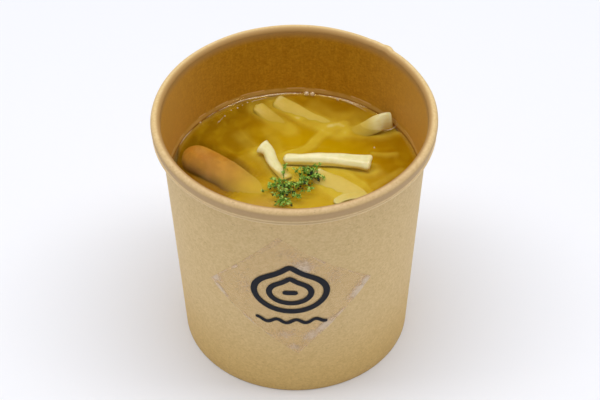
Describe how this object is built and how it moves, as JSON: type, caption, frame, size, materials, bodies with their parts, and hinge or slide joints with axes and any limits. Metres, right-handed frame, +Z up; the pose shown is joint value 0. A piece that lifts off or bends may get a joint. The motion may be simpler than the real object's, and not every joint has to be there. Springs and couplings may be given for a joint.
{
  "type": "paper cup of onion soup",
  "caption": "Tapered kraft-paper soup cup with a rolled rim and a clear square film label, filled with golden broth, a short sausage, onion strips and dried parsley.",
  "frame": {"origin": "centre of the foot ring, on the surface that the cup stands on", "axes": "+Z up, out of the cup's mouth; -Y towards the front, where the label is; +X to the right as the front is seen"},
  "size_m": [0.098, 0.098, 0.0952],
  "materials": {
    "kraft_paper": "matt uncoated kraft, faintly fibrous, with a satin moisture barrier inside",
    "clear_film": "clear film with whitish patches where it has lifted",
    "broth": "wet, clouded golden liquid",
    "sausage": "wet, smooth skin",
    "onion": "wet, translucent, cooked",
    "parsley": "dry, crumpled leaf"
  },
  "bodies": {
    "root": {"cup_wall": "kraft_paper", "cup_base": "kraft_paper", "label_film": "clear_film", "broth": "broth", "sausage": "sausage", "onion_strip_front": "onion", "onion_curl": "onion", "onion_petal_near": "onion", "onion_petal_right": "onion", "onion_petal_far": "onion", "onion_tip_left": "onion", "parsley_heap": "parsley"}
  },
  "joints": []
}
